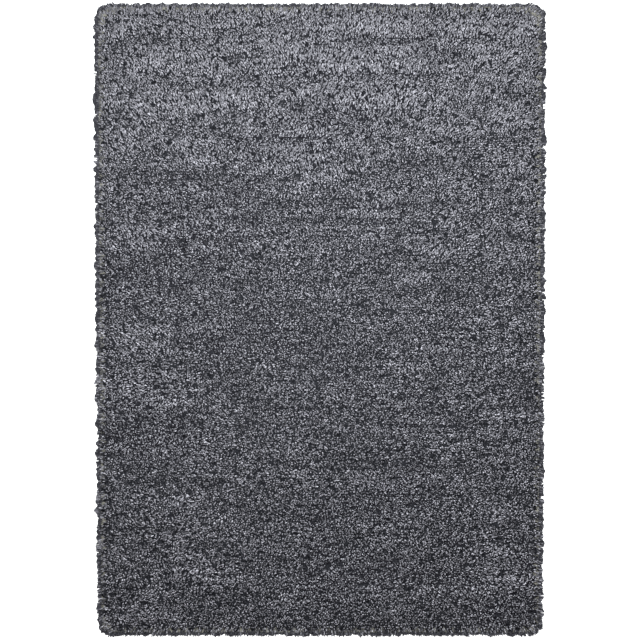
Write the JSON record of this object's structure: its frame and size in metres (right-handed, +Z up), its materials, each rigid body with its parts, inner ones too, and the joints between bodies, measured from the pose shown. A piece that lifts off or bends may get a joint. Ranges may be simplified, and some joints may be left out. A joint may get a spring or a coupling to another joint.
{
  "type": "shag rug",
  "caption": "Flat rectangular shag rug with rounded corners, deep melange pile with partings, and locks of pile drooping to the floor round its rim.",
  "frame": {"origin": "on the floor, under the middle of the rug", "axes": "+X across the rug, +Y along it towards the end whose pile lies over most, +Z up out of the pile"},
  "size_m": [1.1991, 1.6992, 0.0391],
  "materials": {
    "shag_yarn": "matte two-ply yarn, charcoal and light grey melange",
    "ground_cloth": "matte plain-woven backing"
  },
  "bodies": {
    "root": {"shag_rug": "shag_yarn"}
  },
  "joints": []
}
